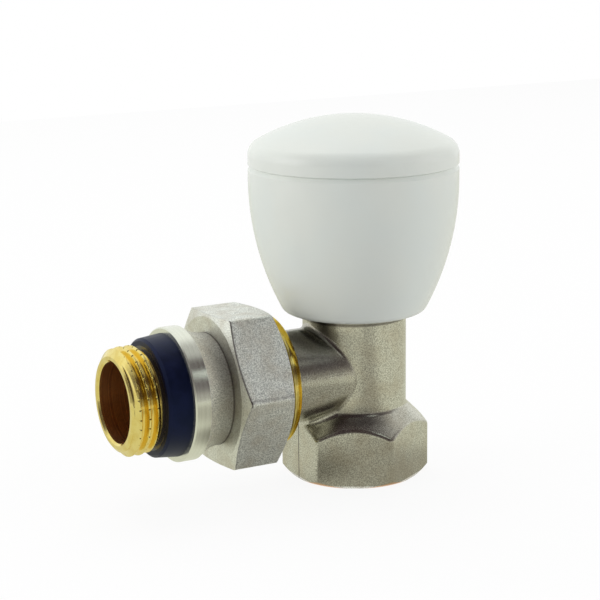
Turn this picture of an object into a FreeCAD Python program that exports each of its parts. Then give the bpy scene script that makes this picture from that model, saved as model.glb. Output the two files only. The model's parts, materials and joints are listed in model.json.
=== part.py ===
import FreeCAD, Part
import math
import os
import re

import Sketcher
from FreeCAD import Placement, Rotation, Vector

# Manual angle radiator valve, half-inch size, shown closed. Millimetres, +Z up.
# Origin: centre of the inlet's bottom face, on the spindle axis. The branch and its tail run along -X.

doc = FreeCAD.newDocument("radiator_valve")

# Driving dimensions

SIZES = {
    # clearances
    "running_gap": 0.05,
    "loose_gap": 0.3,
    # forged body
    "foot_across_flats": 26.0,
    "foot_edge_round": 1.3,
    "foot_chamfer_radius": 13.1,
    "foot_chamfer_slope": 0.68,
    "foot_shoulder_top": 14.3,
    "barrel_radius": 10.4,
    "barrel_top": 38.0,
    "forging_round": 1.2,
    "branch_height": 21.6,
    "branch_radius": 9.15,
    "branch_bore_radius": 6.5,
    "branch_shoulder": 18.9,
    "union_thread_radius": 13.22,
    "union_thread_chamfer": 0.5,
    "union_thread_end": 26.0,
    "inlet_bore_radius": 9.3,
    "inlet_depth": 11.0,
    "inlet_chamfer": 0.5,
    "inlet_cone": 1.2,
    "orifice_radius": 5.0,
    "seat_rim_width": 1.2,
    "seat_rim_height": 1.5,
    "seat_height": 15.0,
    "chamber_radius": 7.5,
    # bonnet and gland
    "bonnet_thread_radius": 8.5,
    "bonnet_spigot_radius": 7.0,
    "bonnet_spigot_length": 1.2,
    "bonnet_flange_radius": 10.2,
    "bonnet_flange_thickness": 1.5,
    "bonnet_gasket_thickness": 0.6,
    "bonnet_across_flats": 17.0,
    "bonnet_hexagon_height": 4.0,
    "bonnet_neck_radius": 6.8,
    "bonnet_chamfer": 0.5,
    "gland_web": 1.4,
    "gland_radius": 5.0,
    "gland_depth": 6.5,
    "gland_across_flats": 11.0,
    "gland_head_height": 2.0,
    # spindle and disc
    "spindle_thread_radius": 4.0,
    "spindle_thread_drop": 2.2,
    "spindle_shaft_radius": 3.2,
    "spindle_lift": 4.5,
    "spindle_square": 4.6,
    "spindle_square_length": 4.8,
    "button_radius": 2.6,
    "button_thickness": 1.8,
    "button_neck_radius": 1.8,
    "disc_radius": 6.6,
    "disc_rim": 0.7,
    "disc_plate_thickness": 2.2,
    "disc_hub_radius": 4.2,
    "disc_hub_lip": 2.0,
    "disc_open_gap": 0.7,
    "washer_thickness": 2.0,
    "washer_recess": 1.0,
    "washer_screw_radius": 1.2,
    "washer_screw_depth": 1.7,
    "washer_screw_head_radius": 2.4,
    "washer_screw_head": 1.1,
    # knob, its cap and its screw
    "knob_gap": 0.5,
    "knob_overlap": 4.5,
    "knob_lip_width": 3.2,
    "knob_lip_height": 2.6,
    "knob_lip_step": 1.0,
    "knob_edge_round": 1.8,
    "knob_radius": 20.85,
    "knob_side_arc": 55.4,
    "knob_side_height": 26.5,
    "knob_band_height": 2.9,
    "knob_bevel_width": 0.5,
    "knob_bevel_height": 0.8,
    "knob_wall": 2.2,
    "knob_rim_wall": 1.95,
    "knob_deck_thickness": 2.5,
    "knob_boss_gap": 0.5,
    "knob_boss_radius": 5.5,
    "knob_boss_length": 3.8,
    "knob_rib_thickness": 1.4,
    "knob_rib_count": 6,
    "cap_side_height": 3.84,
    "cap_dome_rise": 5.86,
    "cap_edge_round": 3.0,
    "cap_wall": 1.6,
    "cap_skirt_depth": 3.4,
    "cap_bevel": 0.25,
    "knob_screw_radius": 1.5,
    "knob_screw_length": 9.0,
    "knob_screw_head_radius": 3.4,
    "knob_screw_head": 2.0,
    "screw_slot_width": 0.8,
    "screw_slot_depth": 0.7,
    # union nut, its ring and its gasket
    "nut_across_flats": 29.2,
    "nut_edge_round": 0.8,
    "nut_inner_end": 21.2,
    "nut_outer_end": 32.5,
    "nut_lip": 2.3,
    "nut_outer_face_radius": 14.1,
    "nut_outer_chamfer_slope": 0.3,
    "nut_inner_face_radius": 13.6,
    "nut_inner_chamfer_slope": 0.46,
    "union_gasket_thickness": 1.6,
    "union_gasket_inner_radius": 8.4,
    "union_gasket_outer_radius": 12.4,
    "ring_width": 1.2,
    "ring_outer_radius": 12.5,
    "ring_groove_radius": 10.0,
    "ring_split": 2.5,
    # tailpiece and its sealing ring
    "tail_neck_radius": 11.0,
    "tail_neck_play": 0.5,
    "tail_taper_arc": 9.0,
    "tail_taper_length": 5.2,
    "tail_collar_radius": 13.05,
    "tail_collar_length": 3.16,
    "tail_collar_edge": 0.25,
    "tail_ring_seat_radius": 10.1,
    "tail_ring_seat_length": 4.64,
    "tail_thread_radius": 10.48,
    "tail_thread_chamfer": 1.1,
    "tail_thread_length": 6.6,
    "tail_bore_radius": 7.8,
    "tail_bore_chamfer": 0.4,
    "sealing_ring_large_radius": 11.95,
    "sealing_ring_small_radius": 11.5,
    "sealing_ring_edge": 0.5,
}

# Sizes that follow from the driving ones

HEX_CORNER = 1 / math.sqrt(3)
SEAM_SHARE = 0.65  # how much of the wall between two forging seams a round may take

DERIVED = {
    "foot_corner": f"foot_across_flats * {HEX_CORNER}",
    "branch_sink": "foot_shoulder_top - (branch_height - branch_radius)",
    "seam_round": f"min(forging_round; {SEAM_SHARE} * abs(branch_sink))",
    "chamber_floor": "seat_height - seat_rim_height",
    "washer_top": "seat_height + washer_thickness",
    "washer_radius": "disc_radius - disc_rim",
    "washer_screw_hole": "washer_screw_radius + running_gap",
    "washer_screw_top": "washer_top + washer_screw_depth",
    "disc_plate_top": "washer_top + disc_plate_thickness",
    "disc_plate_bottom": "washer_top - washer_recess",
    "button_bottom": "disc_plate_top + running_gap",
    "button_top": "button_bottom + button_thickness",
    "button_slot_top": "button_top + running_gap",
    "button_slot_radius": "button_radius + loose_gap",
    "neck_slot_radius": "button_neck_radius + running_gap",
    "disc_hub_top": "button_slot_top + disc_hub_lip",
    "spindle_thread_bottom": "disc_hub_top + loose_gap",
    "spindle_thread_top": "barrel_top - spindle_thread_drop",
    "spindle_bore_radius": "spindle_shaft_radius + running_gap",
    "spindle_nut_radius": "spindle_thread_radius + running_gap",
    "spindle_nut_top": "spindle_thread_top + spindle_lift + loose_gap",
    "spindle_shoulder": "gland_head_top + knob_boss_gap",
    "spindle_top": "spindle_shoulder + spindle_square_length",
    "bonnet_bottom": "disc_hub_top + spindle_lift + disc_open_gap",
    "bonnet_thread_bottom": "bonnet_bottom + bonnet_spigot_length",
    "bonnet_bore_radius": "bonnet_thread_radius + running_gap",
    "bonnet_flange_bottom": "barrel_top + bonnet_gasket_thickness",
    "bonnet_flange_top": "bonnet_flange_bottom + bonnet_flange_thickness",
    "bonnet_hexagon_top": "bonnet_flange_top + bonnet_hexagon_height",
    "bonnet_neck_top": "gland_floor + gland_depth",
    "chamber_top": "bonnet_thread_bottom - loose_gap",
    "gland_floor": "spindle_nut_top + gland_web",
    "gland_plug_radius": "gland_radius - running_gap",
    "gland_ring_section": "(gland_plug_radius - spindle_bore_radius) / 2",
    "gland_ring_circle": "(gland_plug_radius + spindle_bore_radius) / 2",
    "gland_plug_bottom": "gland_floor + 4 * gland_ring_section + running_gap",
    "gland_head_top": "bonnet_neck_top + gland_head_height",
    "knob_bottom": "barrel_top - knob_overlap",
    "knob_hole_radius": "barrel_radius + knob_gap",
    "knob_foot_radius": "knob_hole_radius + knob_lip_width",
    "knob_lip_top": "knob_bottom + knob_lip_height",
    "knob_side_top": "knob_bottom + knob_side_height",
    "knob_rim": "knob_side_top + knob_band_height",
    "knob_recess_radius": "knob_radius - knob_rim_wall",
    "knob_deck_bottom": "spindle_shoulder + knob_boss_length",
    "knob_deck_top": "knob_deck_bottom + knob_deck_thickness",
    "knob_socket": "spindle_square / 2 + running_gap",
    "knob_screw_hole": "knob_screw_radius + running_gap",
    "knob_screw_end": "knob_deck_top - knob_screw_length",
    "knob_screw_top": "knob_deck_top + knob_screw_head",
    "cap_side_top": "knob_rim + cap_side_height",
    "cap_apex": "cap_side_top + cap_dome_rise",
    "cap_skirt_radius": "knob_recess_radius - running_gap",
    "cap_hollow_radius": "cap_skirt_radius - cap_wall",
    "cap_hollow_rise": "cap_dome_rise - cap_wall",
    "cap_dome_arc": "(knob_radius * knob_radius / cap_dome_rise + cap_dome_rise) / 2",
    "cap_hollow_arc": "(cap_hollow_radius * cap_hollow_radius / cap_hollow_rise + cap_hollow_rise) / 2",
    "nut_corner": f"nut_across_flats * {HEX_CORNER}",
    "nut_bore_radius": "union_thread_radius + running_gap",
    "nut_hole_radius": "tail_neck_radius + running_gap",
    "nut_lip_face": "nut_outer_end - nut_lip",
    "ring_outer_face": "nut_lip_face - running_gap",
    "ring_inner_face": "ring_outer_face - ring_width",
    "tail_inner_end": "union_thread_end + union_gasket_thickness",
    "tail_neck_end": "nut_outer_end + tail_neck_play",
    "tail_taper_end": "tail_neck_end + tail_taper_length",
    "tail_collar_face": "tail_taper_end + tail_collar_length",
    "tail_ring_face": "tail_collar_face + tail_ring_seat_length",
    "tail_end": "tail_ring_face + tail_thread_length",
}

NUT_TURN = 1.9  # degrees from a flat on top, as the nut came to rest when it was tightened

sheet = doc.addObject("Spreadsheet::Sheet", "sizes")
for row, (alias, size) in enumerate(SIZES.items(), start=1):
    sheet.set(f"A{row}", alias)
    sheet.set(f"B{row}", str(size))
    sheet.setAlias(f"B{row}", alias)
doc.recompute()


# Helpers for sketches and features

def formula(text):
    """Write words as sheet cells, with derived words written out in full and functions left as they are."""
    def spell(match):
        word = match.group(0)
        if word in DERIVED:
            return f"({formula(DERIVED[word])})"
        return f"sizes.{word}"
    return re.sub(r"\b[a-z][a-z_]+\b(?!\()", spell, text)


def measure(text):
    """The present value of a formula."""
    return float(sheet.evalExpression(formula(text)))


def new_body(label):
    body = doc.addObject("PartDesign::Body", label)
    body.Label = label
    return body


def branch_body(label, turn=0):
    """A body whose own Z axis runs along the branch, out towards the tail."""
    body = new_body(label)
    lie_down = Rotation(Vector(0, 1, 0), -90)
    body.Placement = Placement(Vector(), lie_down * Rotation(Vector(0, 0, 1), turn))
    body.setExpression("Placement.Base.z", formula("branch_height"))
    return body


def origin_part(body, role):
    return next(part for part in body.Origin.OriginFeatures if part.Role == role)


def arc_between(start, end, radius, side):
    """Arc from start to end that bulges to one side of the way between them."""
    chord = end - start
    right = Vector(chord.y, -chord.x, 0).normalize()
    bulge = right if side == "right" else -right
    rise = radius - math.sqrt(radius ** 2 - (chord.Length / 2) ** 2)
    return Part.Arc(start, (start + end) / 2 + bulge * rise, end)


def edge_ends(sketch, edge, start):
    """Numbers of an edge's start and end points, in the order of the outline."""
    if sketch.getPoint(edge, 1).distanceToPoint(start) < sketch.getPoint(edge, 2).distanceToPoint(start):
        return 1, 2
    return 2, 1


def pin_corner(sketch, edge, end, direction, text):
    """Hold one corner at its distance from the sketch's axis."""
    if text == "0":
        axis = -2 if direction == "DistanceX" else -1
        sketch.addConstraint(Sketcher.Constraint("PointOnObject", edge, end, axis))
        return
    number = sketch.addConstraint(Sketcher.Constraint(direction, -1, 1, edge, end, measure(text)))
    sketch.setExpression(f"Constraints[{number}]", formula(text))


def outline(body, name, plane, points, arcs=None, offset=None):
    """Closed outline through points, each given as two formulas. arcs maps an edge to a radius and a side."""
    arcs = arcs or {}
    sketch = body.newObject("Sketcher::SketchObject", name)
    sketch.AttachmentSupport = (origin_part(body, plane), [""])
    sketch.MapMode = "FlatFace"
    if offset:
        axis, distance = offset
        sketch.setExpression(f"AttachmentOffset.Base.{axis}", formula(distance))
    corners = [Vector(measure(across), measure(along), 0) for across, along in points]
    count = len(corners)
    for edge, start in enumerate(corners):
        end = corners[(edge + 1) % count]
        if edge in arcs:
            radius, side = arcs[edge]
            sketch.addGeometry(arc_between(start, end, measure(radius), side), False)
        else:
            sketch.addGeometry(Part.LineSegment(start, end), False)
    ends = [edge_ends(sketch, edge, corners[edge]) for edge in range(count)]
    for edge in range(count):
        follower = (edge + 1) % count
        joined = Sketcher.Constraint("Coincident", edge, ends[edge][1], follower, ends[follower][0])
        sketch.addConstraint(joined)
    for edge, (across, along) in enumerate(points):
        pin_corner(sketch, edge, ends[edge][0], "DistanceX", across)
        pin_corner(sketch, edge, ends[edge][0], "DistanceY", along)
    for edge, (radius, side) in arcs.items():
        number = sketch.addConstraint(Sketcher.Constraint("Radius", edge, measure(radius)))
        sketch.setExpression(f"Constraints[{number}]", formula(radius))
    return sketch


def revolve(body, name, points, arcs=None, axis="V_Axis", offset=None, cut=False):
    """Turn an outline in the XZ plane about an axis of its sketch."""
    sketch = outline(body, f"{name}_outline", "XZ_Plane", points, arcs, offset)
    feature = body.newObject("PartDesign::Groove" if cut else "PartDesign::Revolution", name)
    feature.Profile = sketch
    feature.ReferenceAxis = (sketch, [axis])
    feature.Angle = 360
    doc.recompute()
    return feature


def pad(body, name, points, height, base):
    """Raise an outline upwards from a plane at height base."""
    sketch = outline(body, f"{name}_outline", "XY_Plane", points, offset=("z", base))
    feature = body.newObject("PartDesign::Pad", name)
    feature.Profile = sketch
    feature.setExpression("Length", formula(height))
    doc.recompute()
    return feature


def pocket(body, name, points, depth, base):
    """Cut an outline upwards from a plane at height base."""
    sketch = outline(body, f"{name}_outline", "XY_Plane", points, offset=("z", base))
    feature = body.newObject("PartDesign::Pocket", name)
    feature.Profile = sketch
    feature.Reversed = True
    feature.setExpression("Length", formula(depth))
    doc.recompute()
    return feature


def repeat_around(body, name, feature, count):
    """Repeat a feature about the body's Z axis."""
    pattern = body.newObject("PartDesign::PolarPattern", name)
    pattern.Originals = [feature]
    pattern.Axis = (origin_part(body, "Z_Axis"), [""])
    pattern.Angle = 360
    pattern.setExpression("Occurrences", formula(count))
    body.Tip = pattern
    doc.recompute()
    return pattern


def hexagon(across_flats):
    """Corners of a hexagon with a flat towards +X and one towards -X."""
    half = f"{across_flats} / 2"
    side = f"{across_flats} * {HEX_CORNER / 2}"
    corner = f"{across_flats} * {HEX_CORNER}"
    return [
        (half, f"-({side})"),
        (half, side),
        ("0", corner),
        (f"-({half})", side),
        (f"-({half})", f"-({side})"),
        ("0", f"-({corner})"),
    ]


def rectangle(left, right, front, back):
    return [(left, front), (right, front), (right, back), (left, back)]


def round_edges(body, name, base, radius, wanted):
    """Fillet the edges of a feature that the test picks."""
    edges = [f"Edge{number}" for number, edge in enumerate(base.Shape.Edges, start=1) if wanted(edge)]
    feature = body.newObject("PartDesign::Fillet", name)
    feature.Base = (base, edges)
    feature.setExpression("Radius", formula(radius))
    doc.recompute()
    return feature


def stands_upright(edge):
    first = edge.Vertexes[0].Point
    last = edge.Vertexes[-1].Point
    return abs(first.z - last.z) > 1 and math.hypot(first.x - last.x, first.y - last.y) < 1e-6


def is_rim_at(radius, height):
    """Test for the circle of that radius at that height."""
    def test(edge):
        if edge.Degenerated or not isinstance(edge.Curve, Part.Circle):
            return False
        circle = edge.Curve
        return abs(circle.Radius - measure(radius)) < 1e-4 and abs(circle.Center.z - measure(height)) < 1e-4
    return test


def is_foot_edge(edge):
    """Test for the foot's upright edges and the curves where its shoulder meets the flats."""
    first, last = edge.ParameterRange
    heights = [edge.valueAt(at).z for at in (first, (first + last) / 2, last)]
    below_barrel = max(heights) < measure("foot_shoulder_top") - 1e-3
    return below_barrel and (stands_upright(edge) or min(heights) > 1e-3)


def is_forging_seam(edge):
    """Test for the curves where the barrel, the branch and the foot's shoulder run into each other."""
    if edge.Degenerated or isinstance(edge.Curve, Part.Line):
        return False
    first, last = edge.ParameterRange
    middle = edge.valueAt((first + last) / 2)
    from_spindle = math.hypot(middle.x, middle.y)
    from_branch = math.hypot(middle.y, middle.z - measure("branch_height"))
    on_barrel = abs(from_spindle - measure("barrel_radius")) < 1e-3
    on_branch = abs(from_branch - measure("branch_radius")) < 1e-3
    is_end = middle.z > measure("barrel_top") - 1e-3 or middle.x < -measure("branch_shoulder") + 1e-3
    return (on_barrel or on_branch) and not is_end


# Forged angle body

valve_body = new_body("valve_body")
pad(valve_body, "foot_hexagon", hexagon("foot_across_flats"), "foot_shoulder_top", "0")
shoulder = revolve(
    valve_body,
    "foot_shoulder",
    [
        ("barrel_radius", "foot_shoulder_top"),
        ("barrel_radius + foot_corner", "foot_shoulder_top - foot_corner"),
        ("barrel_radius + foot_corner", "foot_shoulder_top"),
    ],
    cut=True,
)
round_edges(valve_body, "foot_edges", shoulder, "foot_edge_round", is_foot_edge)
revolve(
    valve_body,
    "foot_chamfer",
    [
        ("foot_chamfer_radius", "0"),
        ("foot_chamfer_radius + foot_corner", "0"),
        ("foot_chamfer_radius + foot_corner", "foot_corner * foot_chamfer_slope"),
    ],
    cut=True,
)
revolve(valve_body, "barrel", rectangle("0", "barrel_radius", "inlet_depth", "barrel_top"))
branch = revolve(
    valve_body,
    "branch",
    [
        ("0", "0"),
        ("0", "branch_radius"),
        ("-branch_shoulder", "branch_radius"),
        ("-branch_shoulder", "union_thread_radius - union_thread_chamfer"),
        ("-(branch_shoulder + union_thread_chamfer)", "union_thread_radius"),
        ("-(union_thread_end - union_thread_chamfer)", "union_thread_radius"),
        ("-union_thread_end", "union_thread_radius - union_thread_chamfer"),
        ("-union_thread_end", "0"),
    ],
    axis="H_Axis",
    offset=("y", "branch_height"),
)
round_edges(valve_body, "forging_rounds", branch, "seam_round", is_forging_seam)
revolve(
    valve_body,
    "water_way",
    [
        ("0", "0"),
        ("inlet_bore_radius + inlet_chamfer", "0"),
        ("inlet_bore_radius", "inlet_chamfer"),
        ("inlet_bore_radius", "inlet_depth"),
        ("orifice_radius", "inlet_depth + inlet_cone"),
        ("orifice_radius", "seat_height"),
        ("orifice_radius + seat_rim_width", "seat_height"),
        ("orifice_radius + seat_rim_width", "chamber_floor"),
        ("chamber_radius", "chamber_floor"),
        ("chamber_radius", "chamber_top"),
        ("bonnet_bore_radius", "chamber_top"),
        ("bonnet_bore_radius", "barrel_top"),
        ("0", "barrel_top"),
    ],
    cut=True,
)
revolve(
    valve_body,
    "branch_bore",
    [
        ("0", "0"),
        ("0", "branch_bore_radius"),
        ("-branch_shoulder", "branch_bore_radius"),
        ("-union_thread_end", "tail_bore_radius"),
        ("-union_thread_end", "0"),
    ],
    axis="H_Axis",
    offset=("y", "branch_height"),
    cut=True,
)

# Bonnet, screwed into the top of the barrel

bonnet = new_body("bonnet")
pad(bonnet, "bonnet_hexagon", hexagon("bonnet_across_flats"), "bonnet_hexagon_height", "bonnet_flange_top")
revolve(
    bonnet,
    "bonnet_hexagon_chamfer",
    [
        ("bonnet_across_flats / 2", "bonnet_hexagon_top"),
        ("bonnet_across_flats", "bonnet_hexagon_top - bonnet_across_flats / 4"),
        ("bonnet_across_flats", "bonnet_hexagon_top"),
    ],
    cut=True,
)
revolve(
    bonnet,
    "bonnet_turning",
    [
        ("0", "bonnet_bottom"),
        ("bonnet_spigot_radius", "bonnet_bottom"),
        ("bonnet_spigot_radius", "bonnet_thread_bottom"),
        ("bonnet_thread_radius", "bonnet_thread_bottom"),
        ("bonnet_thread_radius", "bonnet_flange_bottom"),
        ("bonnet_flange_radius", "bonnet_flange_bottom"),
        ("bonnet_flange_radius", "bonnet_flange_top"),
        ("bonnet_neck_radius", "bonnet_flange_top"),
        ("bonnet_neck_radius", "bonnet_neck_top - bonnet_chamfer"),
        ("bonnet_neck_radius - bonnet_chamfer", "bonnet_neck_top"),
        ("0", "bonnet_neck_top"),
    ],
)
revolve(
    bonnet,
    "bonnet_bores",
    [
        ("0", "bonnet_bottom"),
        ("spindle_nut_radius", "bonnet_bottom"),
        ("spindle_nut_radius", "spindle_nut_top"),
        ("spindle_bore_radius", "spindle_nut_top"),
        ("spindle_bore_radius", "gland_floor"),
        ("gland_radius", "gland_floor"),
        ("gland_radius", "bonnet_neck_top"),
        ("0", "bonnet_neck_top"),
    ],
    cut=True,
)

bonnet_gasket = new_body("bonnet_gasket")
revolve(
    bonnet_gasket,
    "bonnet_gasket_ring",
    rectangle("bonnet_bore_radius", "bonnet_flange_radius", "barrel_top", "bonnet_flange_bottom"),
)

# Gland: two rings round the spindle, held down by a nut

for label, sections_up in (("gland_o_ring_lower", 1), ("gland_o_ring_upper", 3)):
    seal = doc.addObject("Part::Torus", label)
    seal.Label = label
    seal.setExpression("Radius1", formula("gland_ring_circle"))
    seal.setExpression("Radius2", formula("gland_ring_section"))
    seal.setExpression("Placement.Base.z", formula(f"gland_floor + {sections_up} * gland_ring_section"))

gland_nut = new_body("gland_nut")
pad(gland_nut, "gland_hexagon", hexagon("gland_across_flats"), "gland_head_height", "bonnet_neck_top")
revolve(
    gland_nut,
    "gland_plug",
    rectangle("0", "gland_plug_radius", "gland_plug_bottom", "bonnet_neck_top"),
)
revolve(
    gland_nut,
    "gland_bore",
    rectangle("0", "spindle_bore_radius", "gland_plug_bottom", "gland_head_top"),
    cut=True,
)

# Rising spindle: button end, thread, shaft and square drive

spindle = new_body("spindle")
revolve(
    spindle,
    "spindle_turning",
    [
        ("0", "button_bottom"),
        ("button_radius", "button_bottom"),
        ("button_radius", "button_top"),
        ("button_neck_radius", "button_top"),
        ("button_neck_radius", "spindle_thread_bottom"),
        ("spindle_thread_radius", "spindle_thread_bottom"),
        ("spindle_thread_radius", "spindle_thread_top"),
        ("spindle_shaft_radius", "spindle_thread_top"),
        ("spindle_shaft_radius", "spindle_top"),
        ("knob_screw_hole", "spindle_top"),
        ("knob_screw_hole", "knob_screw_end - loose_gap"),
        ("0", "knob_screw_end - loose_gap"),
    ],
)
flat = pocket(
    spindle,
    "square_flat",
    rectangle("spindle_square / 2", "spindle_square", "-spindle_square", "spindle_square"),
    "spindle_square_length",
    "spindle_shoulder",
)
repeat_around(spindle, "square_drive", flat, "4")

# Disc holder: a plate with a hub, slotted from the side for the spindle's button

disc_holder = new_body("disc_holder")
revolve(
    disc_holder,
    "disc_turning",
    [
        ("0", "washer_screw_top"),
        ("washer_screw_hole", "washer_screw_top"),
        ("washer_screw_hole", "washer_top"),
        ("washer_radius", "washer_top"),
        ("washer_radius", "disc_plate_bottom"),
        ("disc_radius", "disc_plate_bottom"),
        ("disc_radius", "disc_plate_top"),
        ("disc_hub_radius", "disc_plate_top"),
        ("disc_hub_radius", "disc_hub_top"),
        ("0", "disc_hub_top"),
    ],
)
revolve(
    disc_holder,
    "button_chamber",
    [
        ("0", "disc_plate_top"),
        ("button_slot_radius", "disc_plate_top"),
        ("button_slot_radius", "button_slot_top"),
        ("neck_slot_radius", "button_slot_top"),
        ("neck_slot_radius", "disc_hub_top"),
        ("0", "disc_hub_top"),
    ],
    cut=True,
)
pocket(
    disc_holder,
    "button_slot",
    rectangle("-button_slot_radius", "button_slot_radius", "0", "disc_radius"),
    "button_slot_top - disc_plate_top",
    "disc_plate_top",
)
pocket(
    disc_holder,
    "neck_slot",
    rectangle("-neck_slot_radius", "neck_slot_radius", "0", "disc_radius"),
    "disc_hub_lip",
    "button_slot_top",
)

seat_washer = new_body("seat_washer")
revolve(
    seat_washer,
    "washer_ring",
    rectangle("washer_screw_hole", "washer_radius", "seat_height", "washer_top"),
)

washer_screw = new_body("washer_screw")
revolve(
    washer_screw,
    "washer_screw_turning",
    [
        ("0", "seat_height - washer_screw_head"),
        ("washer_screw_head_radius", "seat_height - washer_screw_head"),
        ("washer_screw_head_radius", "seat_height"),
        ("washer_screw_radius", "seat_height"),
        ("washer_screw_radius", "washer_screw_top"),
        ("0", "washer_screw_top"),
    ],
)
pocket(
    washer_screw,
    "washer_screw_slot",
    rectangle(
        "-washer_screw_head_radius",
        "washer_screw_head_radius",
        "-screw_slot_width / 2",
        "screw_slot_width / 2",
    ),
    "screw_slot_depth",
    "seat_height - washer_screw_head",
)

# Hand knob: a moulded shell with a deck, a boss with a square socket, and ribs

knob = new_body("knob")
knob_shell = revolve(
    knob,
    "knob_shell",
    [
        ("knob_hole_radius", "knob_bottom"),
        ("knob_foot_radius", "knob_bottom"),
        ("knob_radius", "knob_side_top"),
        ("knob_radius", "knob_rim - knob_bevel_height"),
        ("knob_radius - knob_bevel_width", "knob_rim"),
        ("knob_recess_radius", "knob_rim"),
        ("knob_recess_radius", "knob_deck_top"),
        ("knob_screw_hole", "knob_deck_top"),
        ("knob_screw_hole", "spindle_shoulder"),
        ("knob_boss_radius", "spindle_shoulder"),
        ("knob_boss_radius", "knob_deck_bottom"),
        ("knob_radius - knob_wall", "knob_deck_bottom"),
        ("knob_foot_radius - knob_lip_step", "knob_lip_top"),
        ("knob_hole_radius", "knob_lip_top"),
    ],
    arcs={1: ("knob_side_arc", "right"), 11: ("knob_side_arc - knob_wall", "left")},
)
round_edges(knob, "knob_edge", knob_shell, "knob_edge_round", is_rim_at("knob_foot_radius", "knob_bottom"))
pocket(
    knob,
    "square_socket",
    rectangle("-knob_socket", "knob_socket", "-knob_socket", "knob_socket"),
    "spindle_square_length + loose_gap",
    "spindle_shoulder",
)
rib = pad(
    knob,
    "knob_rib",
    rectangle(
        "(knob_boss_radius + knob_socket) / 2",
        "knob_radius - knob_wall",
        "-knob_rib_thickness / 2",
        "knob_rib_thickness / 2",
    ),
    "knob_boss_length",
    "spindle_shoulder",
)
repeat_around(knob, "knob_ribs", rib, "knob_rib_count")

knob_cap = new_body("knob_cap")
cap_shell = revolve(
    knob_cap,
    "cap_shell",
    [
        ("cap_hollow_radius", "knob_rim - cap_skirt_depth"),
        ("cap_skirt_radius", "knob_rim - cap_skirt_depth"),
        ("cap_skirt_radius", "knob_rim"),
        ("knob_radius - knob_bevel_width", "knob_rim"),
        ("knob_radius", "knob_rim + cap_bevel"),
        ("knob_radius", "cap_side_top"),
        ("0", "cap_apex"),
        ("0", "cap_apex - cap_wall"),
        ("cap_hollow_radius", "cap_side_top"),
    ],
    arcs={5: ("cap_dome_arc", "right"), 7: ("cap_hollow_arc", "left")},
)
round_edges(knob_cap, "cap_edge", cap_shell, "cap_edge_round", is_rim_at("knob_radius", "cap_side_top"))

knob_screw = new_body("knob_screw")
revolve(
    knob_screw,
    "knob_screw_turning",
    [
        ("0", "knob_screw_end"),
        ("knob_screw_radius", "knob_screw_end"),
        ("knob_screw_radius", "knob_deck_top"),
        ("knob_screw_head_radius", "knob_deck_top"),
        ("knob_screw_head_radius", "knob_screw_top"),
        ("0", "knob_screw_top"),
    ],
)
pocket(
    knob_screw,
    "knob_screw_slot",
    rectangle(
        "-knob_screw_head_radius",
        "knob_screw_head_radius",
        "-screw_slot_width / 2",
        "screw_slot_width / 2",
    ),
    "screw_slot_depth",
    "knob_screw_top - screw_slot_depth",
)

# Union nut

union_nut = branch_body("union_nut", NUT_TURN)
nut_block = pad(
    union_nut, "nut_hexagon", hexagon("nut_across_flats"), "nut_outer_end - nut_inner_end", "nut_inner_end"
)
round_edges(union_nut, "nut_edges", nut_block, "nut_edge_round", stands_upright)
revolve(
    union_nut,
    "nut_outer_chamfer",
    [
        ("nut_outer_face_radius", "nut_outer_end"),
        ("nut_outer_face_radius + nut_corner", "nut_outer_end - nut_corner * nut_outer_chamfer_slope"),
        ("nut_outer_face_radius + nut_corner", "nut_outer_end"),
    ],
    cut=True,
)
revolve(
    union_nut,
    "nut_inner_chamfer",
    [
        ("nut_inner_face_radius", "nut_inner_end"),
        ("nut_inner_face_radius + nut_corner", "nut_inner_end"),
        ("nut_inner_face_radius + nut_corner", "nut_inner_end + nut_corner * nut_inner_chamfer_slope"),
    ],
    cut=True,
)
revolve(
    union_nut,
    "nut_bore",
    [
        ("0", "nut_inner_end"),
        ("nut_bore_radius", "nut_inner_end"),
        ("nut_bore_radius", "nut_lip_face"),
        ("nut_hole_radius", "nut_lip_face"),
        ("nut_hole_radius", "nut_outer_end"),
        ("0", "nut_outer_end"),
    ],
    cut=True,
)

union_gasket = branch_body("union_gasket")
revolve(
    union_gasket,
    "union_gasket_ring",
    rectangle("union_gasket_inner_radius", "union_gasket_outer_radius", "union_thread_end", "tail_inner_end"),
)

nut_retaining_ring = branch_body("nut_retaining_ring")
revolve(
    nut_retaining_ring,
    "retaining_ring_turning",
    rectangle("ring_groove_radius", "ring_outer_radius", "ring_inner_face", "ring_outer_face"),
)
pocket(
    nut_retaining_ring,
    "retaining_ring_split",
    rectangle("0", "-ring_outer_radius", "-ring_split / 2", "ring_split / 2"),
    "ring_width",
    "ring_inner_face",
)

# Tailpiece: neck with the ring's groove, flared collar, seat of the sealing ring, pipe thread

tailpiece = branch_body("tailpiece")
revolve(
    tailpiece,
    "tail_turning",
    [
        ("tail_bore_radius", "tail_inner_end"),
        ("tail_neck_radius", "tail_inner_end"),
        ("tail_neck_radius", "ring_inner_face"),
        ("ring_groove_radius", "ring_inner_face"),
        ("ring_groove_radius", "ring_outer_face"),
        ("tail_neck_radius", "ring_outer_face"),
        ("tail_neck_radius", "tail_neck_end"),
        ("tail_collar_radius", "tail_taper_end"),
        ("tail_collar_radius", "tail_collar_face - tail_collar_edge"),
        ("tail_collar_radius - tail_collar_edge", "tail_collar_face"),
        ("tail_ring_seat_radius", "tail_collar_face"),
        ("tail_ring_seat_radius", "tail_ring_face"),
        ("tail_thread_radius", "tail_ring_face"),
        ("tail_thread_radius", "tail_end - tail_thread_chamfer"),
        ("tail_thread_radius - tail_thread_chamfer", "tail_end"),
        ("tail_bore_radius + tail_bore_chamfer", "tail_end"),
        ("tail_bore_radius", "tail_end - tail_bore_chamfer"),
    ],
    arcs={6: ("tail_taper_arc", "left")},
)

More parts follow.
